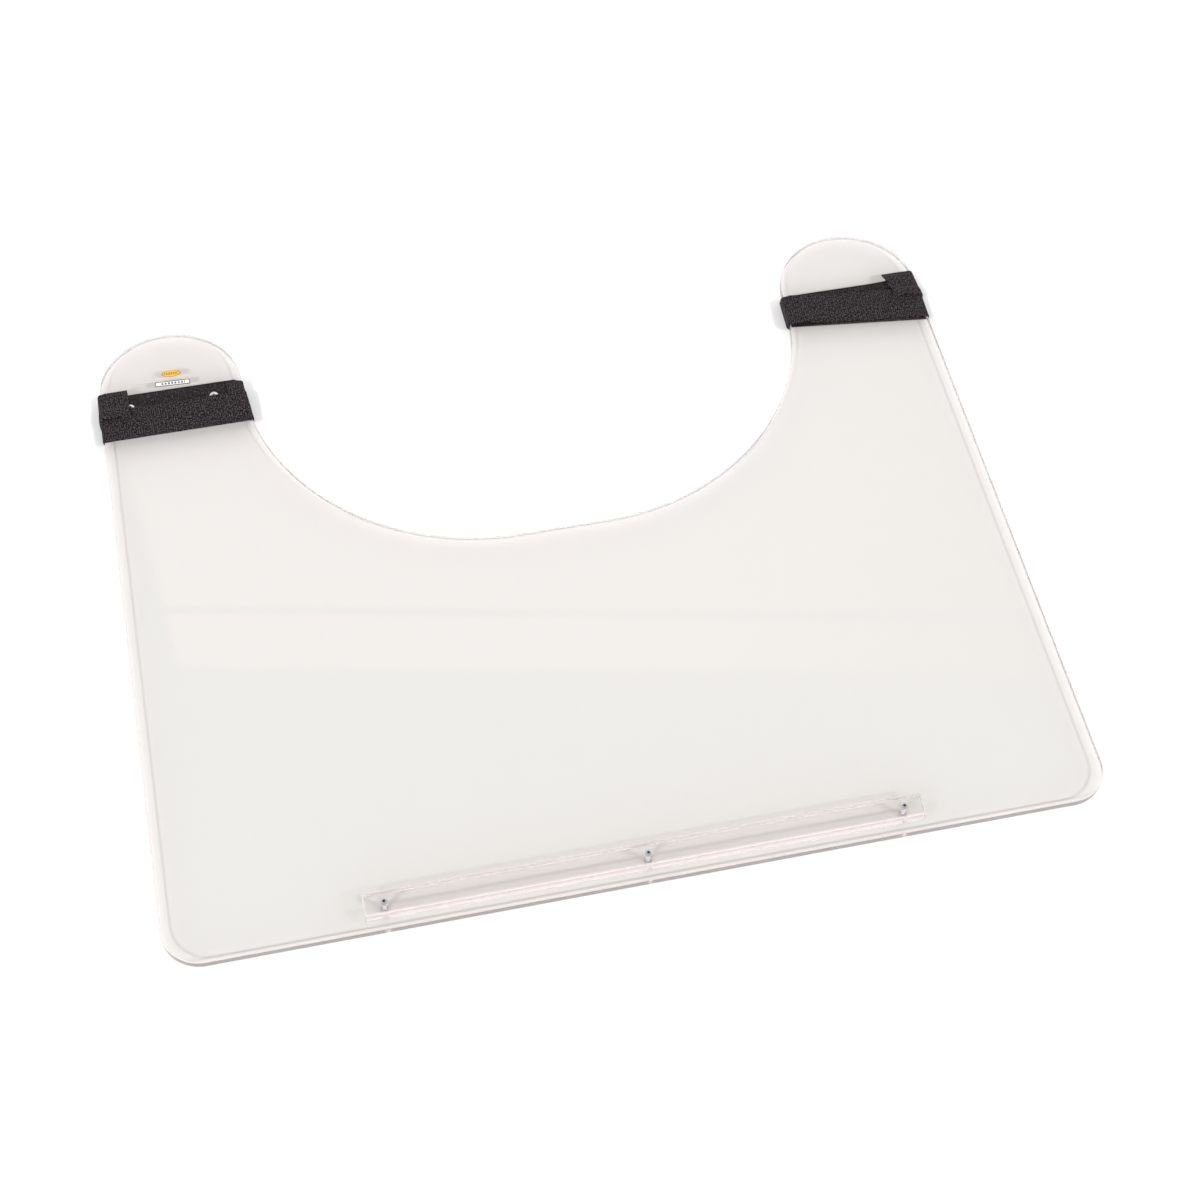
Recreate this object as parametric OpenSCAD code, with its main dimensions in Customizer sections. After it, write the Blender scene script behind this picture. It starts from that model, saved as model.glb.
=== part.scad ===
// Clear wheelchair lap tray with two hook-and-loop arm straps and a riveted front ledge.
// The tray lies level on its strap windings and on the tails of the ledge rivets.
// X runs across the tray, +Y runs from the ledge towards the arm tips, +Z is up.
// The origin is under the middle of the tray, on the surface that it lies on.

/* [Tray panel] */
// Width across the arms
tray_w = 610; // [560:1:660]
// Depth from the ledge edge to the arm tips
tray_d = 505; // [480:1:540]
// Thickness of the clear sheet
tray_t = 6; // [4.5:0.5:8]
// Radius of the two corners beside the ledge
corner_r = 26; // [10:1:60]
// Width of each arm, which ends in a half circle
arm_w = 101.6; // [90:0.1:110]
// Distance from the ledge edge to the bottom of the body cut-out
cutout_y = 278; // [260:1:285]
// Half length of the straight stretch at the bottom of the cut-out
cutout_flat = 31; // [20:1:45]

/* [Front ledge] */
// Length of the ledge bar
ledge_l = 360; // [340:1:460]
// Width of the ledge bar
ledge_w = 16; // [14:0.5:25]
// Height of the ledge bar
ledge_h = 9; // [6:0.5:14]
// Gap between the ledge bar and the edge of the tray
ledge_inset = 6.5; // [3:0.5:20]
// Radius along the top edges and down the corners of the ledge bar
ledge_round = 1.5; // [0.5:0.1:2.5]
// Distance between neighbouring ledge rivets
ledge_pitch = 167; // [120:1:168]

/* [Straps] */
// Width of the loop strap and of the hook strip
strap_w = 25.4; // [20:0.2:25.4]
// Thickness of the loop strap
strap_t = 1.1; // [1:0.1:1.6]
// Length of the hook strip on each arm
hook_l = 94; // [75:1:96]
// Thickness of the hook strip
hook_t = 1.5; // [1.2:0.1:1.7]
// Centre line of the hook strips, measured from the ledge edge
hook_y = 439.5; // [439:0.1:440]
// Distance between the two rivets of a hook strip
hook_pitch = 60; // [50:1:64]
// Length of the loose tab at the end of each strap
tab_l = 24.5; // [20:0.5:26]

/* [Rivets] */
// Diameter of the rivet body
rivet_d = 3.2; // [3:0.1:3.2]
// Diameter of the rivet flange
flange_d = 6.4; // [6:0.1:7]
// Height of the rivet flange
flange_h = 1; // [0.7:0.1:1.1]
// Diameter of the hole that the mandrel was pulled through
rivet_bore = 2; // [1.9:0.1:2.2]

/* [Labels] */
// Length of the oval label
oval_l = 14; // [10:1:20]
// Width of the oval label
oval_w = 6; // [5:0.5:8]
// Length of the plate label
plate_l = 25; // [18:1:32]
// Width of the plate label
plate_w = 4.4; // [3:0.2:5]

/* [Hidden] */
$fn = 96;

// Clearances: between strap layers, and between the strap and other pieces.
layer_gap = 0.2;
wrap_gap = 0.2;
hole_gap = 0.1;
cut = 1;

// Arm and cut-out geometry.
half_w = tray_w / 2;
arm_r = arm_w / 2;
arm_x = half_w - arm_r;
arm_y = tray_d - arm_r;
inner_x = half_w - arm_w;
cutout_r = inner_x - cutout_flat;
cutout_cy = cutout_y + cutout_r;

// Heights, counted up from the surface that the tray lies on.
under_gap = 0.1;
stack_h = under_gap + 2 * strap_t + layer_gap;
z_bottom = stack_h;
z_top = z_bottom + tray_t;
z_hook = z_top + hook_t;
z_front = z_hook + flange_h + layer_gap;
z_tab = z_front + strap_t + wrap_gap;

// Rivet tails: bulb under the sheet, then the head of the mandrel.
bulb_d = 4.9;
head_h = 0.8;
head_d = 2.9;
ledge_tail = stack_h - head_h;
hook_tail = 1.3;
stub_drop = 2.2;
bore_gap = 0.05;
bulb_taper = 0.7;
lip_w = 0.35;
lip_h = 0.35;
pocket_d = bulb_d + 0.7;
hook_round = 1;
plate_round = 0.4;

// Ledge rivets.
ledge_y = ledge_inset + ledge_w / 2;
ledge_x = [-ledge_pitch, 0, ledge_pitch];

// Centre lines of the strap passes on each side, from the ledge edge:
// front pass at the outer edge, front pass at the inner edge, tab, tucked end.
pass_left = [426.4, 426.8, 443.6, 437.6];
pass_right = [428.4, 439.6, 446.6, 437.8];
tuck_l = 11;
outer_1 = half_w + wrap_gap;
outer_2 = outer_1 + strap_t + layer_gap;
hinge_x = outer_2 + strap_t + wrap_gap;

label_t = 0.2;
oval_at = [-252.3, 467.3];
plate_at = [-252.2, 458.2];
label_turn = -2.5;

// Edge of the arm beside the cut-out, at distance y from the ledge edge.
function inner_edge(y) =
    y >= cutout_cy ? inner_x
    : cutout_flat + sqrt(pow(cutout_r, 2) - pow(cutout_cy - y, 2));

// Everything is laid out from the ledge edge and then centred on the origin.
module placed() {
    translate([0, -tray_d / 2, 0]) children();
}

// Outline of the sheet: round corners, half-round arm tips and the body cut-out.
module panel_outline() {
    difference() {
        union() {
            translate([-half_w + corner_r, 0]) square([tray_w - 2 * corner_r, corner_r + cut]);
            translate([-half_w, corner_r]) square([tray_w, arm_y - corner_r]);
            for (s = [-1, 1]) {
                translate([s * (half_w - corner_r), corner_r]) circle(r = corner_r);
                translate([s * arm_x, arm_y]) circle(r = arm_r);
            }
        }
        for (s = [-1, 1]) translate([s * cutout_flat, cutout_cy]) circle(r = cutout_r, $fn = 192);
        translate([-cutout_flat, cutout_y]) square([2 * cutout_flat, cutout_r + cut]);
        translate([-inner_x, cutout_cy]) square([2 * inner_x, tray_d]);
    }
}

function hook_rivets() = [for (s = [-1, 1], k = [-1, 1]) [s * arm_x + k * hook_pitch / 2, hook_y]];

module tray_panel() {
    color([0.93, 0.92, 0.92, 0.45]) placed() difference() {
        translate([0, 0, z_bottom]) linear_extrude(tray_t) panel_outline();
        for (x = ledge_x) rivet_hole([x, ledge_y], tray_t);
        for (p = hook_rivets()) rivet_hole(p, tray_t);
    }
}

// Clear hole through the sheet and whatever lies on it.
module rivet_hole(at, depth) {
    translate([at[0], at[1], z_bottom - cut]) cylinder(d = rivet_d + hole_gap, h = depth + 2 * cut);
}

// Bar with rounded top edges along its length and slightly rounded ends.
module front_ledge() {
    color([0.95, 0.94, 0.94, 0.45]) placed() difference() {
        intersection() {
            translate([-ledge_l / 2, ledge_inset, z_top]) rotate([90, 0, 90]) linear_extrude(ledge_l) {
                square([ledge_w, ledge_h - ledge_round]);
                translate([ledge_round, 0]) square([ledge_w - 2 * ledge_round, ledge_h]);
                for (y = [ledge_round, ledge_w - ledge_round])
                    translate([y, ledge_h - ledge_round]) circle(r = ledge_round, $fn = 32);
            }
            translate([0, ledge_y, z_top - cut]) linear_extrude(ledge_h + 2 * cut)
                round_plate(ledge_l, ledge_w, ledge_round);
        }
        for (x = ledge_x) rivet_hole([x, ledge_y], tray_t + ledge_h);
    }
}

// Rectangle with rounded corners, centred on the origin.
module round_plate(l, w, r) {
    square([l - 2 * r, w], center = true);
    square([l, w - 2 * r], center = true);
    for (x = [-1, 1], y = [-1, 1]) translate([x * (l / 2 - r), y * (w / 2 - r)]) circle(r = r, $fn = 32);
}

// Set blind rivet: low domed flange, hollow body and the bulb that its tail was pulled into.
// The sheet starts at z_bottom and grip is the thickness that the rivet holds together.
// lip_w is the flat ring round its bore and lip_h the share of flange_h at the flange's rim.
module rivet(at, grip, tail) {
    bore_r = rivet_bore / 2;
    top = z_bottom + grip;
    low = z_bottom - tail;
    dome = [for (a = [0:15:90]) [
        bore_r + lip_w + (flange_d / 2 - bore_r - lip_w) * cos(a),
        top + flange_h * (lip_h + (1 - lip_h) * sin(a))]];
    color([0.78, 0.78, 0.79]) placed() translate([at[0], at[1], 0]) rotate_extrude($fn = 48)
        polygon(concat(
            [[bore_r, low], [bulb_d / 2 - bulb_taper, low], [bulb_d / 2 - 0.15, low + tail * 0.3],
             [bulb_d / 2, low + tail * 0.55], [bulb_d / 2 - 0.2, z_bottom - 0.02],
             [rivet_d / 2, z_bottom - 0.02], [rivet_d / 2, top], [flange_d / 2, top]],
            dome, [[bore_r, top + flange_h - 0.25]]));
}

// Broken-off mandrel: its head closes the tail and its stem ends below the flange.
module mandrel(at, grip, tail) {
    stem_r = rivet_bore / 2 - bore_gap;
    low = z_bottom - tail - head_h;
    stem_top = z_bottom + grip - stub_drop;
    color([0.35, 0.35, 0.37]) placed() translate([at[0], at[1], 0]) rotate_extrude($fn = 48)
        polygon([[0, low], [head_d / 2 - 0.5, low], [head_d / 2 - 0.12, low + 0.2],
                 [head_d / 2, low + 0.45], [head_d / 2, low + head_h], [stem_r, low + head_h],
                 [stem_r, stem_top], [stem_r * 0.55, stem_top + 0.5], [0, stem_top + 0.5]]);
}

module hook_strip(side) {
    color([0.1, 0.1, 0.11]) placed() difference() {
        translate([side * arm_x, hook_y, z_top]) linear_extrude(hook_t)
            round_plate(hook_l, strap_w, hook_round);
        for (k = [-1, 1]) rivet_hole([side * arm_x + k * hook_pitch / 2, hook_y], tray_t + hook_t);
    }
}

// One flat pass of the strap across the arm, from x0 and its centre line c0 to x1 and c1.
module strap_pass(x0, c0, x1, c1, z) {
    h = strap_w / 2;
    translate([0, 0, z]) linear_extrude(strap_t)
        polygon([[x0, c0 - h], [x1, c1 - h], [x1, c1 + h], [x0, c0 + h]]);
}

// Upright fold of the strap beside the straight outer edge of the arm, from x outwards.
module outer_fold(x, c, z0, z1) {
    translate([x, c - strap_w / 2, z0]) cube([strap_t, strap_w, z1 - z0]);
}

// Upright fold at the gap off from the arm's inner edge, along the chord between its two ends.
module inner_fold(off, c, z0, z1) {
    y0 = c - strap_w / 2;
    y1 = c + strap_w / 2;
    e0 = inner_edge(y0) - off;
    e1 = inner_edge(y1) - off;
    translate([0, 0, z0]) linear_extrude(z1 - z0)
        polygon([[e0 - strap_t, y0], [e1 - strap_t, y1], [e1, y1], [e0, y0]]);
}

// The wound strap on the arm at +X, in the order in which it is wound:
// tucked end, inner fold, first pass under the arm, outer fold, front pass over the arm,
// second inner fold, second pass under the arm, second outer fold.
module strap_winding(pass) {
    z_under_1 = z_bottom - under_gap - strap_t;
    z_under_2 = 0;
    off_1 = wrap_gap;
    off_2 = wrap_gap + strap_t + layer_gap;
    in_1 = inner_edge(pass[3]) - off_1 - strap_t / 2;
    in_2 = inner_edge(pass[1]) - off_2 - strap_t / 2;
    difference() {
        union() {
            strap_pass(in_1, pass[3], inner_x + tuck_l, pass[3], z_hook + wrap_gap);
            inner_fold(off_1, pass[3], z_under_1, z_hook + wrap_gap + strap_t);
            strap_pass(in_1, pass[3], outer_1 + strap_t, pass[0], z_under_1);
            outer_fold(outer_1, pass[0], z_under_1, z_front + strap_t);
            strap_pass(in_2, pass[1], outer_1 + strap_t, pass[0], z_front);
            inner_fold(off_2, pass[1], z_under_2, z_front + strap_t);
            strap_pass(in_2, pass[1], outer_2 + strap_t, pass[2], z_under_2);
            outer_fold(outer_2, pass[2], z_under_2, z_front + strap_t);
        }
        // The rivet tails press into the strap under the arm.
        for (k = [-1, 1])
            translate([arm_x + k * hook_pitch / 2, hook_y, z_bottom - hook_tail - head_h - 0.1])
                cylinder(d = pocket_d, h = stack_h);
    }
}

module strap_band(side) {
    color([0.24, 0.23, 0.235]) placed()
        if (side > 0) strap_winding(pass_right);
        else mirror([1, 0, 0]) strap_winding(pass_left);
}

// Loose end of the strap, lying on the hook strip. It peels up about its outer lower edge.
module strap_tab_flat(pass) {
    translate([hinge_x - tab_l, pass[2] - strap_w / 2, z_tab]) cube([tab_l, strap_w, strap_t]);
}

module strap_tab(side) {
    color([0.25, 0.24, 0.245]) placed()
        if (side > 0) strap_tab_flat(pass_right);
        else mirror([1, 0, 0]) strap_tab_flat(pass_left);
}

module oval_label() {
    color([0.93, 0.73, 0.25]) placed() translate([oval_at[0], oval_at[1], z_top])
        rotate([0, 0, label_turn]) linear_extrude(label_t)
            polygon([for (a = [0:7.5:359]) [oval_l / 2 * cos(a), oval_w / 2 * sin(a)]]);
}

module plate_label() {
    color([0.97, 0.97, 0.96]) placed() translate([plate_at[0], plate_at[1], z_top])
        rotate([0, 0, label_turn]) linear_extrude(label_t) round_plate(plate_l, plate_w, plate_round);
}

module ledge_rivet(k) {
    rivet([ledge_x[k], ledge_y], tray_t + ledge_h, ledge_tail);
}

module ledge_mandrel(k) {
    mandrel([ledge_x[k], ledge_y], tray_t + ledge_h, ledge_tail);
}

module strap_rivet(k) {
    rivet(hook_rivets()[k], tray_t + hook_t, hook_tail);
}

module strap_mandrel(k) {
    mandrel(hook_rivets()[k], tray_t + hook_t, hook_tail);
}

tray_panel();
front_ledge();
ledge_rivet(0);  // ledge_rivet_left
ledge_rivet(1);  // ledge_rivet_middle
ledge_rivet(2);  // ledge_rivet_right
ledge_mandrel(0);  // ledge_mandrel_left
ledge_mandrel(1);  // ledge_mandrel_middle
ledge_mandrel(2);  // ledge_mandrel_right
hook_strip(-1);  // hook_strip_left
hook_strip(1);  // hook_strip_right
strap_rivet(0);  // strap_rivet_left_outer
strap_rivet(1);  // strap_rivet_left_inner
strap_rivet(2);  // strap_rivet_right_inner
strap_rivet(3);  // strap_rivet_right_outer
strap_mandrel(0);  // strap_mandrel_left_outer
strap_mandrel(1);  // strap_mandrel_left_inner
strap_mandrel(2);  // strap_mandrel_right_inner
strap_mandrel(3);  // strap_mandrel_right_outer
strap_band(-1);  // strap_band_left
strap_band(1);  // strap_band_right
strap_tab(-1);  // strap_tab_left
strap_tab(1);  // strap_tab_right
oval_label();
plate_label();
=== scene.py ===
"""Clear wheelchair lap tray: polished sheet, riveted ledge and wound hook-and-loop straps."""

import math

import bmesh
import bpy
import numpy as np
from mathutils import Matrix, Vector


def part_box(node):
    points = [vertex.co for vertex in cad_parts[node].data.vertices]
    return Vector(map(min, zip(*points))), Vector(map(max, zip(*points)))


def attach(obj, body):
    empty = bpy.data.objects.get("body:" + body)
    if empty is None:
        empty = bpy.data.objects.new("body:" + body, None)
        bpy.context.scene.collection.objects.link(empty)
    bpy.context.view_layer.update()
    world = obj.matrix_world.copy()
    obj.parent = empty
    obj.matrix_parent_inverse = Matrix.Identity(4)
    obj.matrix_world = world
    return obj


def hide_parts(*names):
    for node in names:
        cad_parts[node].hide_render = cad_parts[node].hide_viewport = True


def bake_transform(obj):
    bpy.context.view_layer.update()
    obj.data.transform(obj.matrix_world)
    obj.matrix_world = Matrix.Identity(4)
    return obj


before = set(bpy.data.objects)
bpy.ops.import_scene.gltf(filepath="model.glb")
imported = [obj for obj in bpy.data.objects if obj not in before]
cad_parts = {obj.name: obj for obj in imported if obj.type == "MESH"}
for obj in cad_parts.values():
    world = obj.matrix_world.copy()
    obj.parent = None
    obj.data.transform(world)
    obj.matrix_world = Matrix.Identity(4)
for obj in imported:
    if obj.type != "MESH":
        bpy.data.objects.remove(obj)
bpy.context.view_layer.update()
MM = 0.001

# Design sizes that a node's box doesn't give, in metres. Lengths along Y start at the ledge edge.
CORNER_R = 26 * MM
CUTOUT_Y = 278 * MM
CUTOUT_FLAT = 31 * MM
RIVET_HOLE_R = 1.65 * MM
FLANGE_R = 3.2 * MM
FLANGE_H = 1.0 * MM
STRAP_T = 1.0 * MM
TUCK_L = 11 * MM
ROW_PITCH = 1.6 * MM
HOOK_TAPE_T = 1.1 * MM
HOOK_WIRE_R = 0.13 * MM
HOOK_PITCH_X, HOOK_PITCH_Y = 1.35 * MM, 1.25 * MM
EDGE_R = 0.8 * MM
ARRIS_BAND = (1.2 * MM, 0.7 * MM)  # where the dark line of the upper arris starts and is full
TAPE_GAP = 0.02 * MM
SIDES = {"left": -1, "right": 1}
ENDS = ("inner", "outer")
LABEL_TURN = math.radians(2.5)

# Centre lines of each strap at the corners of its winding, in the order in which it is wound:
# tucked end, first pass under the arm, front pass over it, second pass under it, loose tab.
PASSES = {
    "left": {"tuck": 437.6, "under_1": (438.0, 428.6), "front": (425.3, 425.7),
             "under_2": (430.0, 443.0), "tab": 443.6},
    "right": {"tuck": 437.8, "under_1": (439.4, 427.2), "front": (426.2, 438.2),
              "under_2": (441.0, 446.0), "tab": 446.8},
}

# How far the middle of the tape stands off the arm's edge in each fold, in mm, at the front and at
# the rear edge of the tape: tucked end, front pass at the outer edge and at the inner edge, tab.
FOLDS = {
    "left": {"tuck": (0.65, 0.65), "outer": (0.65, 0.7), "inner": (0.7, 1.5), "tab": (1.8, 1.0)},
    "right": {"tuck": (0.65, 0.65), "outer": (0.6, 0.9), "inner": (1.2, 1.7), "tab": (1.8, 0.7)},
}

# How far in mm each tab stops short of its node's end, and by how much more at its rear edge.
TAB_ENDS = {"left": (1.0, 1.2), "right": (0.2, -3.0)}

# Radius of each bend of the winding, in mm, from the tucked end to the loose end.
BEND_R = (0, 1.5, 1.3, 1.3, 1.5, 1.9, 1.5, 1.5, 2.2, 0)
PASS_COUNT = len(BEND_R) - 1
TAB_FOLD = PASS_COUNT - 1

# Places that the frame gives.
panel_low, panel_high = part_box("tray_panel")
HALF_W = panel_high.x
FRONT_Y = panel_low.y
DEPTH = 2 * abs(FRONT_Y)
Z_BOTTOM = panel_low.z
Z_TOP = panel_high.z
hook_low, hook_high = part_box("hook_strip_right")
ARM_X = (hook_low.x + hook_high.x) / 2
ARM_R = HALF_W - ARM_X
ARM_Y = DEPTH - ARM_R
INNER_X = HALF_W - 2 * ARM_R
HOOK_Y = (hook_low.y + hook_high.y) / 2 - FRONT_Y
HOOK_HALF_L = (hook_high.x - hook_low.x) / 2
STRAP_W = hook_high.y - hook_low.y
HOOK_T = hook_high.z - Z_TOP
CUTOUT_R = INNER_X - CUTOUT_FLAT
CUTOUT_CY = CUTOUT_Y + CUTOUT_R
TAB_END_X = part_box("strap_tab_right")[0].x
HINGE_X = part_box("strap_tab_right")[1].x


def node_centre(name):
    low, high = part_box(name)
    return (low + high) / 2


# ---------------------------------------------------------------- mesh helpers

def new_object(name, mesh, smooth=True):
    obj = bpy.data.objects.new(name, mesh)
    bpy.context.scene.collection.objects.link(obj)
    if smooth:
        mesh.polygons.foreach_set("use_smooth", [True] * len(mesh.polygons))
    return obj


def grid_faces(rows, columns, wrap=False):
    """Quads of a grid of points kept row by row. With wrap the columns close on themselves."""
    last = columns if wrap else columns - 1
    r, c = np.meshgrid(np.arange(rows - 1), np.arange(last), indexing="ij")
    r, c = r.ravel(), c.ravel()
    d = (c + 1) % columns
    return np.stack([r * columns + c, r * columns + d, (r + 1) * columns + d, (r + 1) * columns + c], 1)


def arc(cx, cy, r, start, end, count):
    """Points of an arc, with angles in degrees."""
    a = np.radians(np.linspace(start, end, count))
    return np.c_[cx + r * np.cos(a), cy + r * np.sin(a)]


def panel_outline(inset):
    """The sheet's outline moved inwards by inset, anticlockwise."""
    half = np.concatenate([
        arc(HALF_W - CORNER_R, CORNER_R, CORNER_R - inset, -90, 0, 25),
        arc(ARM_X, ARM_Y, ARM_R - inset, 0, 180, 97),
        arc(CUTOUT_FLAT, CUTOUT_CY, CUTOUT_R + inset, 0, -90, 97),
    ])
    whole = np.concatenate([half, half[::-1] * [-1, 1]])
    return whole + [0, FRONT_Y]


def bar_outline(low, high, corner, inset):
    """A rectangle with rounded corners, moved inwards by inset, anticlockwise."""
    x0, x1, y0, y1 = low.x + corner, high.x - corner, low.y + corner, high.y - corner
    r = corner - inset
    return np.concatenate([
        arc(x0, y0, r, 180, 270, 7), arc(x1, y0, r, 270, 360, 7),
        arc(x1, y1, r, 0, 90, 7), arc(x0, y1, r, 90, 180, 7),
    ])


def slab(name, outline, z0, z1, r_low, r_high, holes, wall=0):
    """A flat piece with rounded edges and round holes. outline(inset) gives its outline, and wall
    is the material slot of everything that isn't its flat top or bottom."""
    steps = np.radians(np.linspace(0, 90, 6))
    rings = [(r_low * (1 - math.cos(a)), z0 + r_low * (1 - math.sin(a))) for a in steps[::-1]]
    rings += [(r_high * (1 - math.cos(a)), z1 - r_high * (1 - math.sin(a))) for a in steps]
    bm = bmesh.new()
    loops = [[bm.verts.new((x, y, z)) for x, y in outline(inset)] for inset, z in rings]
    walls = [(loops[i], loops[i + 1]) for i in range(len(loops) - 1)]
    low_loops, high_loops = [loops[0]], [loops[-1]]
    for x, y in holes:
        circle = arc(x, y, RIVET_HOLE_R, 0, 345, 24)
        low = [bm.verts.new((px, py, z0)) for px, py in circle]
        high = [bm.verts.new((px, py, z1)) for px, py in circle]
        walls.append((high, low))
        low_loops.append(low)
        high_loops.append(high)
    for a, b in walls:
        for i in range(len(a)):
            j = (i + 1) % len(a)
            face = bm.faces.new((a[i], a[j], b[j], b[i]))
            face.smooth = True
            face.material_index = wall
    bm.edges.index_update()
    for ends in (low_loops, high_loops):
        edges = []
        for loop in ends:
            for i in range(len(loop)):
                edges.append(bm.edges.get((loop[i], loop[(i + 1) % len(loop)])))
        bmesh.ops.triangle_fill(bm, edges=edges, use_beauty=True, use_dissolve=False)
        for e in edges:
            e.smooth = False
    bmesh.ops.recalc_face_normals(bm, faces=bm.faces[:])
    mesh = bpy.data.meshes.new(name)
    bm.to_mesh(mesh)
    bm.free()
    return new_object(name, mesh, smooth=False)


# ---------------------------------------------------------------- materials

class Nodes:
    """A short way to write the nodes of a material or of the world."""

    def __init__(self, name, owner=None):
        self.material = owner or bpy.data.materials.new(name)
        self.material.use_nodes = True
        self.tree = self.material.node_tree
        self.tree.nodes.clear()

    def add(self, kind, inputs=None, **settings):
        node = self.tree.nodes.new(kind)
        for key, value in settings.items():
            setattr(node, key, value)
        for key, value in (inputs or {}).items():
            self.feed(node.inputs[key], value)
        return node

    def feed(self, socket, value):
        if isinstance(value, bpy.types.NodeSocket):
            self.tree.links.new(value, socket)
        else:
            socket.default_value = value

    def object_point(self, scale=(1, 1, 1)):
        point = self.add("ShaderNodeTexCoord").outputs["Object"]
        return self.add("ShaderNodeMapping", {"Vector": point, "Scale": scale}).outputs[0]

    def noise(self, scale, detail=3, point=None, rough=0.55):
        at = point or self.object_point()
        inputs = {"Vector": at, "Scale": scale, "Detail": detail, "Roughness": rough}
        return self.add("ShaderNodeTexNoise", inputs).outputs["Fac"]

    def math(self, operation, a, b=0.0):
        return self.add("ShaderNodeMath", {0: a, 1: b}, operation=operation).outputs[0]

    def remap(self, value, low, high, to_low, to_high):
        inputs = {"Value": value, "From Min": low, "From Max": high, "To Min": to_low, "To Max": to_high}
        return self.add("ShaderNodeMapRange", inputs).outputs[0]

    def mix(self, fac, a, b):
        """A colour mix. The RGBA sockets of a Mix node are inputs 6 and 7 and output 2."""
        return self.add("ShaderNodeMix", {0: fac, 6: a, 7: b}, data_type="RGBA").outputs[2]

    def bump(self, height, strength, distance):
        inputs = {"Height": height, "Strength": strength, "Distance": distance}
        return self.add("ShaderNodeBump", inputs).outputs[0]

    def finish(self, shader):
        output = self.add("ShaderNodeOutputMaterial")
        self.tree.links.new(shader, output.inputs["Surface"])
        return self.material


def let_lamps_through(n, shader, passed):
    """Send rays from lamps and from matt surfaces straight on, in the colour passed."""
    through = n.add("ShaderNodeBsdfTransparent", {"Color": passed})
    ray = n.add("ShaderNodeLightPath").outputs
    spread = n.add("ShaderNodeMixShader", {0: ray["Is Diffuse Ray"], 1: shader, 2: through.outputs[0]})
    return n.add("ShaderNodeMixShader", {
        0: ray["Is Shadow Ray"], 1: spread.outputs[0], 2: through.outputs[0]}).outputs[0]


def clear_face(name, tint, passed):
    """Polished face of clear sheet, with faint haze, scuffs and a slow wave from casting. passed is
    the colour of the light that goes through it to the matt pieces below."""
    n = Nodes(name)
    haze = n.noise(3.2, 4)
    scuffs = n.noise(1, 6, n.object_point((420, 26, 200)), 0.7)
    rough = n.math("ADD", n.remap(haze, 0.35, 0.7, 0.012, 0.03), n.remap(scuffs, 0.62, 0.8, 0, 0.025))
    wave = n.bump(n.noise(7, 1), 0.004, 0.01)
    colour = n.mix(haze, (*tint, 1), (tint[0], tint[1] * 0.995, tint[2] * 0.994, 1))
    glass = n.add("ShaderNodeBsdfPrincipled", {
        "Base Color": colour, "Roughness": rough, "Normal": wave, "Transmission Weight": 1.0, "IOR": 1.49})
    surface = let_lamps_through(n, glass.outputs[0], (*passed, 1))
    return n.finish(surface)


def clear_edge(name, z_high, tint, passed, arris):
    """Sawn and buffed edge of clear sheet: milky, with fine upright tool marks. The rounded upper
    arris turns light aside, which leaves a thin dark line on whatever lies below."""
    n = Nodes(name)
    marks = n.noise(1, 2, n.object_point((260, 260, 40)), 0.5)
    patch = n.noise(60, 3)
    worn = (tint[0] * 0.97, tint[1] * 0.95, tint[2] * 0.95, 1)
    colour = n.mix(n.remap(patch, 0.3, 0.7, 0, 1), (*tint, 1), worn)
    shader = n.add("ShaderNodeBsdfPrincipled", {
        "Base Color": colour, "Roughness": n.remap(marks, 0.3, 0.7, 0.20, 0.25),
        "Normal": n.bump(marks, 0.02, 0.0001), "Transmission Weight": 0.75, "IOR": 1.49})
    height = n.add("ShaderNodeSeparateXYZ", {0: n.object_point()}).outputs[2]
    rounding = n.remap(height, z_high - ARRIS_BAND[0], z_high - ARRIS_BAND[1], 0.0, 1.0)
    lit_side = n.add("ShaderNodeNewGeometry").outputs["Backfacing"]
    turned_aside = n.math("MULTIPLY", rounding, lit_side)
    surface = let_lamps_through(n, shader.outputs[0], n.mix(turned_aside, (*passed, 1), (*arris, 1)))
    return n.finish(surface)


def loop_webbing():
    """Charcoal loop tape: fine rows across it, broken up by the loops of its nap. Its colour is fibre tone
    with painted light on the loop tops and painted shade between the rows.
    """
    n = Nodes("loop_webbing")
    flat = n.add("ShaderNodeUVMap", uv_map="weave").outputs[0]
    rows = n.add("ShaderNodeTexWave", {
        "Vector": flat, "Scale": math.pi / 10 / ROW_PITCH, "Distortion": 0.5, "Detail": 2.0,
        "Detail Scale": 3.0}, bands_direction="X").outputs["Fac"]

    def fibre(along, across, detail=3, rough=0.6):
        point = n.add("ShaderNodeMapping", {"Vector": flat, "Scale": (along, across, 1)}).outputs[0]
        return n.noise(1, detail, point, rough)

    loops = fibre(940, 820, 1, 0.5)
    strands = fibre(2600, 500)
    patch = fibre(40, 60)
    grain = n.math("ADD", n.math("MULTIPLY", loops, 0.8), n.math("MULTIPLY", strands, 0.2))
    # Painted light and shade: the colour runs from near black to charcoal, lighter on the loops and strands
    # and darker between the rows; this is fibre tone mixed with painted light on the loop tops and painted
    # shade in the grooves.
    nap_tone_and_painted_light = n.remap(grain, 0.43, 0.64, 0.0, 1.0)
    nap_tone_and_painted_light = n.math("MULTIPLY", nap_tone_and_painted_light, n.remap(rows, 0.0, 1.0, 0.5, 1.2))
    colour = n.mix(nap_tone_and_painted_light, (0.002, 0.0017, 0.0019, 1), (0.088, 0.074, 0.081, 1))
    colour = n.mix(n.remap(patch, 0.4, 0.75, 0, 0.15), colour, (0.025, 0.021, 0.023, 1))
    height = n.math("ADD", n.math("MULTIPLY", rows, 0.5), grain)
    shader = n.add("ShaderNodeBsdfPrincipled", {
        "Base Color": colour, "Roughness": n.remap(loops, 0.3, 0.7, 0.85, 1.0),
        "Normal": n.bump(height, 0.6, 0.0004),
        "Sheen Weight": 0.03, "Sheen Roughness": 0.5, "Specular IOR Level": 0.1})
    return n.finish(shader.outputs[0])


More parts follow.
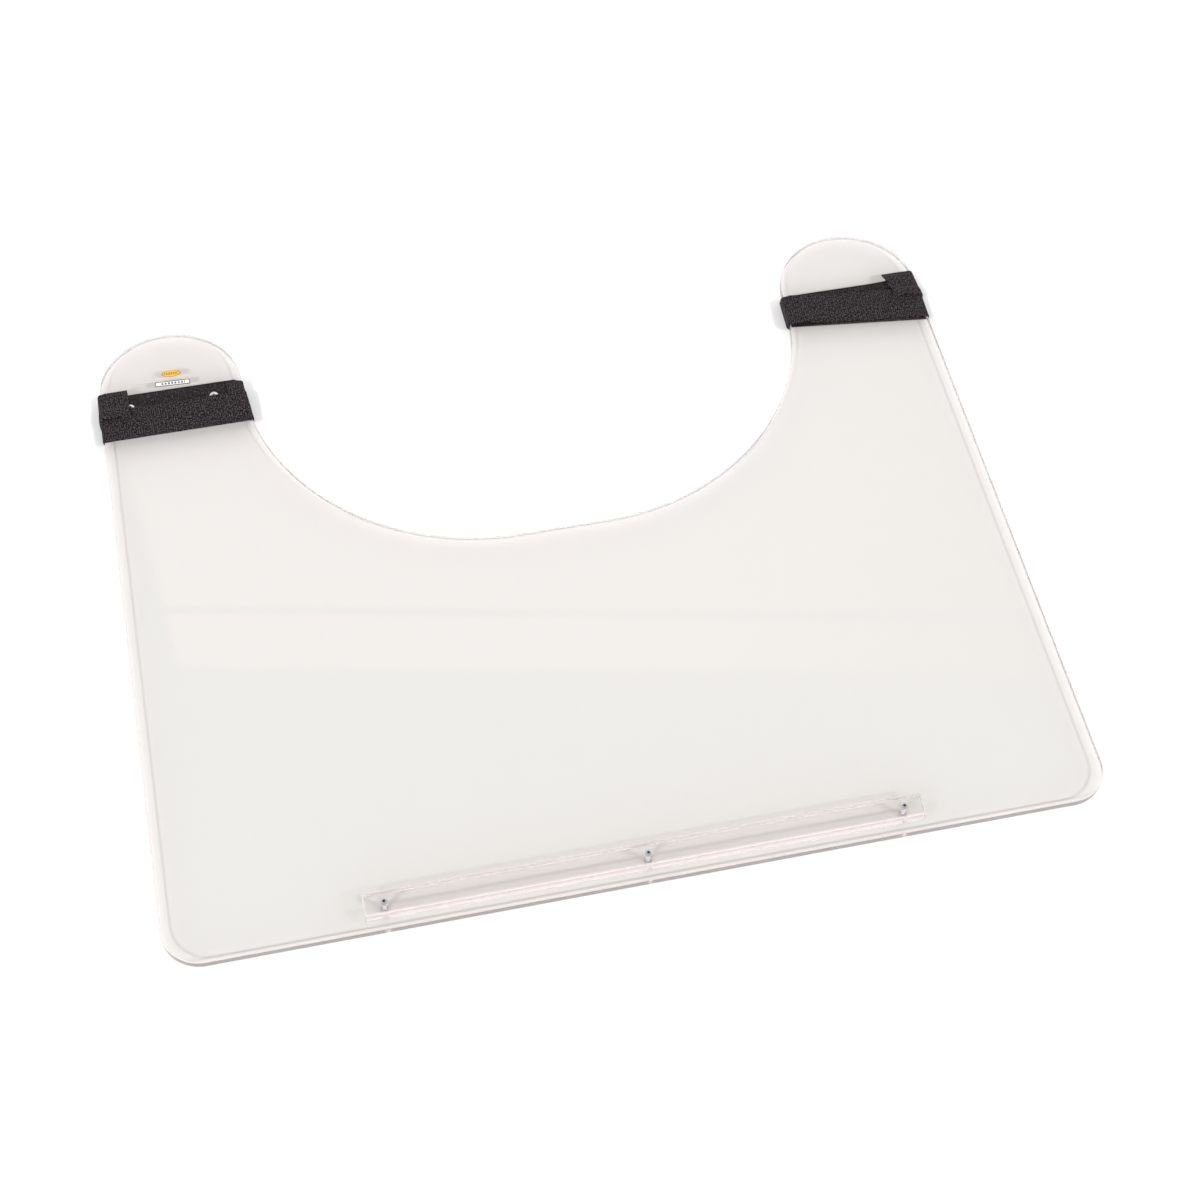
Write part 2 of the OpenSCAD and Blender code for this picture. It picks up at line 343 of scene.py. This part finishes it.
def hook_tape():
    """Black woven base of the hook strip."""
    n = Nodes("hook_tape_base")
    weave = n.add("ShaderNodeTexChecker", {"Vector": n.object_point(), "Scale": 1600.0}).outputs["Fac"]
    fibre = n.noise(900, 4, None, 0.7)
    colour = n.mix(n.remap(fibre, 0.4, 0.65, 0, 1), (0.004, 0.0035, 0.004, 1), (0.018, 0.015, 0.017, 1))
    normal = n.bump(n.math("ADD", weave, fibre), 0.6, 0.0003)
    shader = n.add("ShaderNodeBsdfPrincipled", {
        "Base Color": colour, "Roughness": n.remap(fibre, 0.3, 0.7, 0.6, 0.85), "Normal": normal,
        "Specular IOR Level": 0.25})
    return n.finish(shader.outputs[0])


def hook_nylon():
    """Black nylon of the small hooks, with painted glints: light grey patches in its colour stand in for
    light caught on the hooks.
    """
    n = Nodes("hook_nylon")
    painted_glint_noise = n.noise(700, 2)
    # Painted highlight: where the noise is high, the colour goes from black to light grey.
    colour = n.mix(n.remap(painted_glint_noise, 0.42, 0.62, 0, 1), (0.008, 0.006, 0.007, 1), (0.30, 0.26, 0.275, 1))
    shader = n.add("ShaderNodeBsdfPrincipled", {
        "Base Color": colour, "Roughness": n.remap(painted_glint_noise, 0.3, 0.7, 0.3, 0.5), "Specular IOR Level": 0.2})
    return n.finish(shader.outputs[0])


def satin_metal(name, light, dark, low, high):
    """Satin metal with a fine grain of tool marks and small duller stains."""
    n = Nodes(name)
    grain = n.noise(1, 4, n.object_point((3200, 3200, 900)), 0.7)
    stain = n.noise(700, 2)
    colour = n.mix(n.remap(stain, 0.4, 0.7, 0, 1), (*light, 1), (*dark, 1))
    normal = n.bump(grain, 0.25, 0.0001)
    shader = n.add("ShaderNodeBsdfPrincipled", {
        "Base Color": colour, "Roughness": n.remap(grain, 0.3, 0.7, low, high), "Normal": normal,
        "Metallic": 1.0})
    return n.finish(shader.outputs[0])


def label_film(name, node, ground, rim, rim_w, marks, oval):
    """Printed film label: a ground colour, a rim line of width rim_w and a row of plain dashes, of
    which marks fit in half the label's length."""
    n = Nodes(name)
    centre = node_centre(node)
    low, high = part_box(node)
    half_l, half_w = (high.x - low.x) / 2, (high.y - low.y) / 2 - (0 if oval else 0.5 * MM)
    point = n.add("ShaderNodeTexCoord").outputs["Object"]
    local = n.add("ShaderNodeMapping", {"Vector": point, "Location": -centre}).outputs[0]
    turned = n.add("ShaderNodeVectorRotate", {
        "Vector": local, "Angle": LABEL_TURN}, rotation_type="Z_AXIS").outputs[0]
    parts = n.add("ShaderNodeSeparateXYZ", {0: turned})
    u = n.math("DIVIDE", parts.outputs[0], half_l)
    v = n.math("DIVIDE", parts.outputs[1], half_w)
    au, av = n.math("ABSOLUTE", u), n.math("ABSOLUTE", v)
    if oval:
        reach = n.math("SQRT", n.math("ADD", n.math("MULTIPLY", u, u), n.math("MULTIPLY", v, v)))
        on_rim = n.math("GREATER_THAN", reach, 1 - rim_w / half_w)
    else:
        on_rim = n.math("MAXIMUM", n.math("GREATER_THAN", au, 1 - rim_w / half_l),
                        n.math("GREATER_THAN", av, 1 - rim_w / half_w))
    dash = n.math("LESS_THAN", n.math("FRACT", n.math("MULTIPLY", n.math("ADD", u, 1.0), marks)), 0.62)
    band = n.math("MULTIPLY", n.math("LESS_THAN", av, 0.42), n.math("LESS_THAN", au, 0.72))
    printed = n.math("MULTIPLY", dash, band)
    speck = n.noise(1500, 2)
    base = n.mix(n.remap(speck, 0.3, 0.7, 0, 1), (*ground, 1), (*[c * 0.93 for c in ground], 1))
    inked = n.mix(n.math("MULTIPLY", n.math("MAXIMUM", on_rim, printed), 0.85), base, (*rim, 1))
    shader = n.add("ShaderNodeBsdfPrincipled", {
        "Base Color": inked, "Roughness": n.remap(speck, 0.3, 0.7, 0.35, 0.5),
        "Normal": n.bump(speck, 0.1, 0.0001)})
    return n.finish(shader.outputs[0])


# ---------------------------------------------------------------- clear pieces

def rivet_places(part):
    """X and Y of every rivet with part in its name."""
    return [tuple(node_centre(name))[:2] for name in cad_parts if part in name]


def make_panel():
    obj = slab("clear_panel", panel_outline, Z_BOTTOM, Z_TOP, EDGE_R, EDGE_R, rivet_places("_rivet_"), wall=1)
    obj.data.materials.append(clear_face(
        "clear_sheet_acrylic", tint=(0.967, 0.958, 0.949), passed=(0.870, 0.871, 0.859)))
    obj.data.materials.append(clear_edge(
        "clear_sheet_edge", Z_TOP, tint=(0.89, 0.83, 0.83), passed=(0.93, 0.89, 0.89),
        arris=(0.05, 0.02, 0.02)))
    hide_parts("tray_panel")
    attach(obj, "tray")


def make_ledge():
    low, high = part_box("front_ledge")
    air_gap, corner_r, low_r, high_r = 0.06 * MM, 1.5 * MM, 0.4 * MM, 1.2 * MM
    obj = slab("clear_ledge", lambda inset: bar_outline(low, high, corner_r, inset),
               low.z + air_gap, high.z, low_r, high_r, rivet_places("ledge_rivet"), wall=1)
    obj.data.materials.append(clear_face(
        "clear_bar_acrylic", tint=(0.985, 0.972, 0.968), passed=(0.975, 0.955, 0.952)))
    obj.data.materials.append(clear_edge(
        "clear_bar_edge", high.z, tint=(0.93, 0.895, 0.89), passed=(0.88, 0.83, 0.83),
        arris=(0.35, 0.26, 0.26)))
    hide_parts("front_ledge")
    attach(obj, "tray")


# ---------------------------------------------------------------- straps

def smooth(t):
    t = np.clip(t, 0, 1)
    return t * t * (3 - 2 * t)


def inner_edge(y):
    """Distance from the middle of the tray to the arm's inner edge at y from the ledge edge."""
    drop = np.clip(CUTOUT_CY - y, 0, None)
    return CUTOUT_FLAT + np.sqrt(CUTOUT_R ** 2 - drop ** 2)


def near_box(x, y, cx, cy, hx, hy, ramp):
    """1 inside a rectangle, falling smoothly to 0 at ramp outside it."""
    dx = np.clip(np.abs(x - cx) - hx, 0, None)
    dy = np.clip(np.abs(y - cy) - hy, 0, None)
    return 1 - smooth(np.hypot(dx, dy) / ramp)


def over_hook_strip(x, y, ramp, spare=0.0):
    """Height of the hook strip, with a ramp down to the sheet all round it."""
    return HOOK_T * near_box(x, y, ARM_X, HOOK_Y, HOOK_HALF_L, STRAP_W / 2 + spare, ramp)


def near_disc(x, y, cx, cy, r, ramp):
    return 1 - smooth((np.hypot(x - cx, y - cy) - r) / ramp)


def front_pass_y(side, x):
    outer, inner = (c * MM for c in PASSES[side]["front"])
    return outer + (inner - outer) * (HALF_W - x) / (HALF_W - INNER_X)


def strap_rivets(side):
    """Places of the two rivets on one arm, on the +X side, measured from the ledge edge."""
    centres = [node_centre(f"strap_rivet_{side}_{end}") for end in ENDS]
    return [(abs(c.x), c.y - FRONT_Y) for c in centres]


def level_tuck(x, y, side):
    """Height of what the tucked end lies on, above the sheet. The same on either side."""
    return over_hook_strip(x, y, 5 * MM)


def level_front(x, y, side):
    """Height of what the front pass lies on: hook strip, rivet flanges and the tucked end."""
    height = over_hook_strip(x, y, 6 * MM)
    for rx, ry in strap_rivets(side):
        bump = (HOOK_T + FLANGE_H) * near_disc(x, y, rx, ry, 0.5 * FLANGE_R, 9 * MM)
        height = np.maximum(height, bump)
    tuck = (HOOK_T + STRAP_T) * near_box(
        x, y, INNER_X + TUCK_L / 2, PASSES[side]["tuck"] * MM, TUCK_L / 2, STRAP_W / 2, 9 * MM)
    rear = np.clip((y - front_pass_y(side, x)) / (STRAP_W / 2), 0, 1)
    rear_lift = 0.5 * MM
    return np.maximum(height, tuck) + rear_lift * rear ** 2


def level_tab(x, y, side):
    """Height of what the loose tab lies on, with the lift of its free edges: the left tab's front
    edge stands up beside its fold, and the right tab's front corner at its free end."""
    height = over_hook_strip(x, y, 5 * MM, spare=1.5 * MM)
    past = y - (front_pass_y(side, x) + STRAP_W / 2)
    front_top = level_front(x, y, side) + STRAP_T
    height = np.maximum(height, front_top * (1 - smooth(past / (6 * MM))))
    along = np.clip((HINGE_X - x) / (HINGE_X - TAB_END_X), 0, 1)
    across = np.clip((y - PASSES[side]["tab"] * MM) / (STRAP_W / 2), -1, 1)
    front, rear = np.clip(-across, 0, 1), np.clip(across, 0, 1)
    if side == "left":
        lift = 2.4 * front ** 2 * (1 - 0.8 * smooth(along * 1.2)) + 0.3 * along ** 2
    else:
        lift = 0.8 * along ** 1.5 * (1 - rear) + 1.1 * front ** 2 * smooth(along * 2)
    return height + lift * MM


def fillet(p, a, b, r, count):
    """A rounded corner at p, entered from a and left towards b. All are arrays of (x, z)."""
    def unit(v):
        return v / np.linalg.norm(v, axis=-1, keepdims=True)
    start, end = p + unit(a - p) * r[:, None], p + unit(b - p) * r[:, None]
    t = np.linspace(0, 1, count)[:, None, None]
    k = 0.5523  # places a cubic curve's handles so that it follows a quarter circle
    c1, c2 = start + (p - start) * k, end + (p - end) * k
    return (1 - t) ** 3 * start + 3 * (1 - t) ** 2 * t * c1 + 3 * (1 - t) * t ** 2 * c2 + t ** 3 * end


def strap_corners(side, v):
    """Corners of the winding on the +X side for the strands at v across the tape: x, y and z of
    each, in order, and the function that gives the height of the pass after it."""
    passes, folds = PASSES[side], FOLDS[side]
    half = STRAP_T / 2
    rear = v / STRAP_W + 0.5
    ys = [MM * c + v for c in (
        passes["tuck"], passes["tuck"], passes["under_1"][0], passes["under_1"][1], passes["front"][0],
        passes["front"][1], passes["under_2"][0], passes["under_2"][1], passes["tab"], passes["tab"])]

    def off(fold):
        at_front, at_rear = folds[fold]
        return (at_front + (at_rear - at_front) * rear) * MM

    def chord(centre):
        y0, y1 = centre * MM - STRAP_W / 2, centre * MM + STRAP_W / 2
        return inner_edge(y0) + (inner_edge(y1) - inner_edge(y0)) * rear

    short_by, slant = TAB_ENDS[side]
    xs = [
        np.full_like(v, INNER_X + TUCK_L), chord(passes["tuck"]) - off("tuck"),
        chord(passes["under_1"][0]) - off("tuck"), HALF_W + off("outer"), HALF_W + off("outer"),
        chord(passes["front"][1]) - off("inner"), chord(passes["under_2"][0]) - off("inner"),
        HALF_W + off("tab"), HALF_W + off("tab"), TAB_END_X + (short_by + slant * (rear - 0.5)) * MM,
    ]
    under_1 = np.full_like(v, Z_BOTTOM - 0.1 * MM - half)
    under_2 = np.full_like(v, 0.15 * MM + half)

    def top(level, i):
        return Z_TOP + level(xs[i], ys[i], side) + half

    zs = [
        top(level_tuck, 0), top(level_tuck, 1), under_1, under_1, top(level_front, 4),
        top(level_front, 5), under_2, under_2, top(level_tab, 8), top(level_tab, 9),
    ]
    if side == "right":
        # The rear edge of this front pass is pulled down as it turns under the arm.
        zs[5] = zs[5] - 1.1 * MM * rear
    return xs, ys, zs, {0: level_tuck, 4: level_front, 8: level_tab}


def strap_surface(side, step=0.34 * MM, strands=41):
    """Middle surface of one wound strap on the +X side, as a grid of points, and the rows where
    each bend of the winding starts and ends."""
    v = np.linspace(-0.5, 0.5, strands) * STRAP_W
    xs, ys, zs, levels = strap_corners(side, v)
    corners = [np.c_[x, z] for x, z in zip(xs, zs)]
    radii = np.array(BEND_R)[:, None] * MM + 0 * v
    if side == "left":
        radii[TAB_FOLD] += 3.8 * MM * (0.5 - v / STRAP_W) ** 2
    ease = 4 * MM
    points, heights, marks = [], [], []
    row = 0
    for i in range(PASS_COUNT):
        a, b = corners[i], corners[i + 1]
        length = np.linalg.norm(b - a, axis=1)
        way = (b - a) / length[:, None]
        start, end = a + way * radii[i][:, None], b - way * radii[i + 1][:, None]
        count = max(4, int(round(np.linalg.norm(end - start, axis=1).mean() / step)))
        t = np.linspace(0, 1, count)[:, None]
        line = start + (end - start) * t[..., None]
        share = radii[i] / length + (1 - (radii[i] + radii[i + 1]) / length) * t
        y = ys[i] + (ys[i + 1] - ys[i]) * share
        if i in levels:
            hold_a = smooth(np.abs(line[..., 0] - start[:, 0]) / ease) if i > 0 else 1.0
            hold_b = smooth(np.abs(end[:, 0] - line[..., 0]) / ease) if i < TAB_FOLD else 1.0
            target = Z_TOP + levels[i](line[..., 0], y, side) + STRAP_T / 2
            line[..., 1] += (target - line[..., 1]) * hold_a * hold_b
        points.append(line)
        heights.append(y)
        row += count
        if i < TAB_FOLD:
            bend = fillet(b, a, corners[i + 2], radii[i + 1], 9)[1:-1]
            onward = np.linalg.norm(corners[i + 2] - b, axis=1)
            after = ys[i + 1] + (ys[i + 2] - ys[i + 1]) * radii[i + 1] / onward
            t = np.linspace(0, 1, len(bend) + 2)[1:-1, None]
            points.append(bend)
            heights.append(y[-1] + (after - y[-1]) * t)
            marks.append((row, row + len(bend)))
            row += len(bend)
    xz = np.concatenate(points)
    y = np.concatenate(heights)
    return np.stack([xz[..., 0], y + FRONT_Y, xz[..., 1]], -1), marks


def run_along(grid):
    middle = grid[:, grid.shape[1] // 2]
    return np.cumsum(np.r_[0, np.linalg.norm(np.diff(middle, axis=0), axis=1)])


def grid_normals(grid):
    along = np.gradient(grid, axis=0)
    across = np.gradient(grid, axis=1)
    n = np.cross(along, across)
    return n / np.maximum(np.linalg.norm(n, axis=-1, keepdims=True), 1e-9)


def webbing_relief(grid, rng):
    """Height of the nap: fine rows across the tape, broken up by the loops."""
    rows = np.sin(run_along(grid) * 2 * np.pi / ROW_PITCH)[:, None]
    loops = np.clip(rng.standard_normal(grid.shape[:2]), -2, 2)
    row_height, loop_height = 0.035, 0.028
    return (row_height * rows + loop_height * loops) * MM


def ribbon(name, grid, relief, run):
    """A closed tape of thickness STRAP_T about a middle surface, with rounded selvages."""
    n = grid_normals(grid)
    columns = grid.shape[1]
    v = np.linspace(-1, 1, columns)
    selvage = 0.07
    thin = 1 - 0.35 * smooth((np.abs(v) - (1 - selvage)) / selvage)
    half = (STRAP_T / 2 * thin)[None, :, None]
    outside = grid - n * (half + relief[..., None])
    inside = grid + n * (half + relief[..., None] * 0.5)
    edge_out = np.gradient(grid, axis=1)
    edge_out /= np.linalg.norm(edge_out, axis=-1, keepdims=True)
    bulge = 0.3 * MM
    front = grid[:, :1] - edge_out[:, :1] * bulge
    rear = grid[:, -1:] + edge_out[:, -1:] * bulge
    section = np.concatenate([outside, rear, inside[:, ::-1], front], 1)
    across = np.r_[v, 1.02, v[::-1], -1.02] * STRAP_W / 2
    rows, around = section.shape[:2]
    faces = [tuple(f) for f in grid_faces(rows, around, wrap=True)]
    faces.append(tuple(range(around)))
    faces.append(tuple(range((rows - 1) * around, rows * around))[::-1])
    mesh = bpy.data.meshes.new(name)
    mesh.from_pydata(section.reshape(-1, 3).tolist(), [], faces)
    corners = np.empty(len(mesh.loops), dtype=np.int64)
    mesh.loops.foreach_get("vertex_index", corners)
    weave = np.stack([run[corners // around], across[corners % around]], 1)
    mesh.uv_layers.new(name="weave").data.foreach_set("uv", weave.ravel())
    bm = bmesh.new()
    bm.from_mesh(mesh)
    bmesh.ops.recalc_face_normals(bm, faces=bm.faces[:])
    bmesh.ops.triangulate(bm, faces=[f for f in bm.faces if len(f.verts) > 4])
    bm.to_mesh(mesh)
    bm.free()
    return new_object(name, mesh)


def make_strap(side, material, rng):
    sign = SIDES[side]
    grid, marks = strap_surface(side)
    grid = grid * [sign, 1, 1]
    relief = webbing_relief(grid, rng)
    run = run_along(grid)
    cut = sum(marks[-1]) // 2
    band = ribbon(f"strap_{side}_wound", grid[:cut + 1], relief[:cut + 1], run[:cut + 1])
    tab = ribbon(f"strap_{side}_loose_end", grid[cut:], relief[cut:], run[cut:])
    for obj, node in ((band, f"strap_band_{side}"), (tab, f"strap_tab_{side}")):
        obj.data.materials.append(material)
        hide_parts(node)
    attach(band, "tray")
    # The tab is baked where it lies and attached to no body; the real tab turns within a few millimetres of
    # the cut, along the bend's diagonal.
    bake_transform(tab)


# ---------------------------------------------------------------- hook strips

def hook_shape(count=6):
    """Centreline of one hook: a short stem with its end turned over, in (x, z)."""
    rise = np.array([[0, 0], [0, 0.35]])
    crook = arc(0.22, 0.38, 0.22, 180, -20, count)
    return np.concatenate([rise, crook]) * MM


def hook_field(name, low, high, base_z, keep_off, rng):
    """Rows of small hooks over a rectangle, as one mesh of thin four-sided wires."""
    line = hook_shape()
    jitter, clearance, lean = 0.12, 0.4 * MM, 0.4
    xs = np.arange(low.x + 1.5 * MM, high.x - 1.4 * MM, HOOK_PITCH_X)
    ys = np.arange(low.y + 1.7 * MM, high.y - 1.6 * MM, HOOK_PITCH_Y)
    verts, faces = [], []
    sides = np.radians([45, 135, 225, 315])
    for row, y in enumerate(ys):
        for x in xs + (row % 2) * HOOK_PITCH_X / 2:
            place = np.array([x, y]) + rng.uniform(-jitter, jitter, 2) * MM
            if any(np.hypot(*(place - c)) < FLANGE_R + clearance for c in keep_off):
                continue
            turn = rng.choice([0, math.pi]) + rng.normal(0, 0.25)
            height = rng.uniform(0.85, 1.05)
            c, s = math.cos(turn), math.sin(turn)
            base = len(verts)
            for px, pz in line:
                for a in sides:
                    ox, oy = HOOK_WIRE_R * math.cos(a), HOOK_WIRE_R * math.sin(a)
                    u = px + ox
                    verts.append((place[0] + u * c - oy * s, place[1] + u * s + oy * c,
                                  base_z + (pz + lean * ox) * height))
            for k in range(len(line) - 1):
                for j in range(4):
                    m = (j + 1) % 4
                    a0, a1 = base + k * 4, base + (k + 1) * 4
                    faces.append((a0 + j, a0 + m, a1 + m, a1 + j))
            end = base + (len(line) - 1) * 4
            faces.append((end + 3, end + 2, end + 1, end))
            faces.append((base, base + 1, base + 2, base + 3))
    mesh = bpy.data.meshes.new(name)
    mesh.from_pydata(verts, [], faces)
    return new_object(name, mesh)


def make_hook_strip(side, tape_material, hook_material, rng):
    low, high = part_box(f"hook_strip_{side}")
    tape_top = Z_TOP + HOOK_TAPE_T
    centres = [tuple(node_centre(f"strap_rivet_{side}_{end}"))[:2] for end in ENDS]
    corner_r, low_r, high_r = 1.2 * MM, 0.15 * MM, 0.35 * MM
    tape = slab(f"hook_strip_{side}_tape", lambda inset: bar_outline(low, high, corner_r, inset),
                Z_TOP + TAPE_GAP, tape_top, low_r, high_r, centres)
    tape.data.materials.append(tape_material)
    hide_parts(f"hook_strip_{side}")
    hooks = hook_field(f"hook_strip_{side}_hooks", low, high, tape_top - TAPE_GAP, centres, rng)
    hooks.data.materials.append(hook_material)
    for obj in (tape, hooks):
        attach(obj, "tray")


# ---------------------------------------------------------------- rivets and labels

def set_material(node, material):
    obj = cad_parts[node]
    obj.data.materials.clear()
    obj.data.materials.append(material)


def dress_cad_nodes():
    aluminium = satin_metal("rivet_aluminium_satin", (0.91, 0.91, 0.92), (0.80, 0.80, 0.81), 0.38, 0.55)
    steel = satin_metal("mandrel_steel_dull", (0.30, 0.30, 0.31), (0.14, 0.13, 0.13), 0.35, 0.55)
    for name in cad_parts:
        if "_rivet_" in name:
            set_material(name, aluminium)
        if "_mandrel_" in name:
            set_material(name, steel)
    set_material("oval_label", label_film(
        "amber_label_film", "oval_label", ground=(0.83, 0.50, 0.06), rim=(0.30, 0.12, 0.02),
        rim_w=0.35 * MM, marks=4.2, oval=True))
    set_material("plate_label", label_film(
        "white_label_film", "plate_label", ground=(0.90, 0.90, 0.88), rim=(0.02, 0.02, 0.022),
        rim_w=0.75 * MM, marks=5.4, oval=False))


# ---------------------------------------------------------------- studio

# The camera stands at the edge of the ledge side, left of the middle, and looks down at the tray.
CAMERA_AT = (-184 * MM, -591 * MM + FRONT_Y, 1232 * MM + Z_TOP)
CAMERA_YAW = math.radians(13.68)
CAMERA_DOWN = math.radians(56.13)
CAMERA_ROLL = math.radians(-1.93)
CAMERA_LENS = 65.6

# The room is bright up to the sine of one elevation and dims to its ceiling at another. Mirrored in
# a polished face, the foot of its walls is dark.
WALL_TOP, CEILING = 0.45, 0.72
WALL_LIGHT, CEILING_LIGHT = 2.05, 0.34
FOOT_LOW, FOOT_TOP, FOOT_SHARE = 0.28, 0.44, 0.12

# The soft panel behind the arms is turned about Z and slightly out of level. Its heights are forward
# distance over height, from its top down, and its sides are sideways over forward distance.
PANEL_TURN = math.radians(13.7)
PANEL_TILT = 0.03
PANEL_BAR_TOP, PANEL_BAR_END, PANEL_START = 0.625, 0.660, 0.6645
PANEL_FADE = (0.9, 1.4)
PANEL_LEFT = -0.364
PANEL_SIDE_FADE = (0.0, 0.45)
PANEL_COLOUR, PANEL_LIGHT = (1.0, 0.50, 0.58, 1), 0.55

LAMP_TURN, LAMP_HEIGHT, LAMP_LIGHT, LAMP_SPREAD = 48, 45, 0.95, 5


def make_camera():
    data = bpy.data.cameras.new("camera")
    data.lens = CAMERA_LENS
    data.sensor_width = 36
    camera = bpy.data.objects.new("camera", data)
    bpy.context.scene.collection.objects.link(camera)
    cp, sp = math.cos(CAMERA_YAW), math.sin(CAMERA_YAW)
    forward = Vector((sp * math.cos(CAMERA_DOWN), cp * math.cos(CAMERA_DOWN), -math.sin(CAMERA_DOWN)))
    right = Vector((cp, -sp, 0))
    down = forward.cross(right)
    cr, sr = math.cos(CAMERA_ROLL), math.sin(CAMERA_ROLL)
    x_axis = right * cr + down * sr
    y_axis = right * sr - down * cr
    turn = Matrix((x_axis, y_axis, -forward)).transposed().to_4x4()
    camera.matrix_world = Matrix.Translation(CAMERA_AT) @ turn
    bpy.context.scene.camera = camera


def make_floor():
    size, z = 6.0, -0.02 * MM
    mesh = bpy.data.meshes.new("floor")
    corners = [(-size, -size, z), (size, -size, z), (size, size, z), (-size, size, z)]
    mesh.from_pydata(corners, [], [(0, 1, 2, 3)])
    floor = new_object("floor", mesh)
    n = Nodes("studio_floor")
    grain = n.noise(40, 3)
    colour = n.mix(grain, (0.900, 0.898, 0.895, 1), (0.906, 0.904, 0.901, 1))
    shader = n.add("ShaderNodeBsdfPrincipled", {
        "Base Color": colour, "Roughness": 0.9, "Specular IOR Level": 0.0})
    floor.data.materials.append(n.finish(shader.outputs[0]))


def make_lamp(name, azimuth):
    """A far soft lamp. azimuth is in degrees from the ledge side towards +X."""
    data = bpy.data.lights.new(name, "SUN")
    data.energy = LAMP_LIGHT
    data.angle = math.radians(LAMP_SPREAD)
    obj = bpy.data.objects.new(name, data)
    bpy.context.scene.collection.objects.link(obj)
    a, e = math.radians(azimuth), math.radians(LAMP_HEIGHT)
    towards = Vector((math.sin(a) * math.cos(e), -math.cos(a) * math.cos(e), math.sin(e)))
    obj.rotation_euler = towards.to_track_quat("Z", "Y").to_euler()
    obj.location = towards * 3
    obj.visible_glossy = False
    obj.visible_transmission = False


def make_world():
    """A pale room: bright low down, dimmer overhead, with a wide soft panel high behind the arms.
    A thin gap parts a narrow bar from the rest of the panel."""
    world = bpy.data.worlds.new("studio")
    bpy.context.scene.world = world
    n = Nodes("studio", world)
    x, y, z = n.add("ShaderNodeSeparateXYZ", {0: n.add("ShaderNodeTexCoord").outputs["Generated"]}).outputs
    room = n.remap(z, WALL_TOP, CEILING, WALL_LIGHT, CEILING_LIGHT)
    mirrored = n.add("ShaderNodeLightPath").outputs["Is Glossy Ray"]
    foot = n.remap(z, FOOT_LOW, FOOT_TOP, FOOT_SHARE, 1.0)
    dimmed = n.math("ADD", 1.0, n.math("MULTIPLY", mirrored, n.math("SUBTRACT", foot, 1.0)))
    room = n.math("MULTIPLY", room, dimmed)
    turn_cos, turn_sin = math.cos(PANEL_TURN), math.sin(PANEL_TURN)
    forward = n.math("ADD", n.math("MULTIPLY", x, turn_sin), n.math("MULTIPLY", y, turn_cos))
    aside = n.math("SUBTRACT", n.math("MULTIPLY", x, turn_cos), n.math("MULTIPLY", y, turn_sin))
    level = n.math("SUBTRACT", forward, n.math("MULTIPLY", aside, PANEL_TILT))
    reach = n.math("DIVIDE", level, z)
    side = n.math("DIVIDE", aside, forward)

    def step(value, at, softness):
        return n.remap(value, at - softness, at + softness, 0.0, 1.0)

    sheet = n.math("MULTIPLY", step(reach, PANEL_START, 0.0015), n.remap(reach, *PANEL_FADE, 1.0, 0.0))
    bar = n.math("SUBTRACT", step(reach, PANEL_BAR_TOP, 0.002), step(reach, PANEL_BAR_END, 0.0015))
    across = n.math("MULTIPLY", step(side, PANEL_LEFT, 0.003), n.remap(side, *PANEL_SIDE_FADE, 1.0, 0.2))
    panel = n.math("MULTIPLY", n.math("ADD", sheet, bar), across)
    walls = n.add("ShaderNodeBackground", {"Color": (1, 1, 1, 1), "Strength": room})
    glow = n.add("ShaderNodeBackground", {
        "Color": PANEL_COLOUR, "Strength": n.math("MULTIPLY", panel, PANEL_LIGHT)})
    both = n.add("ShaderNodeAddShader", {0: walls.outputs[0], 1: glow.outputs[0]})
    output = n.add("ShaderNodeOutputWorld")
    n.tree.links.new(both.outputs[0], output.inputs["Surface"])


def make_studio():
    make_floor()
    make_world()
    make_lamp("lamp_left", -LAMP_TURN)
    make_lamp("lamp_right", LAMP_TURN)
    bpy.context.scene.view_settings.view_transform = "Standard"


def main():
    rng = np.random.default_rng(7)
    make_camera()
    make_studio()
    make_panel()
    make_ledge()
    webbing = loop_webbing()
    tape, nylon = hook_tape(), hook_nylon()
    for side in SIDES:
        make_hook_strip(side, tape, nylon, rng)
        make_strap(side, webbing, rng)
    dress_cad_nodes()


main()
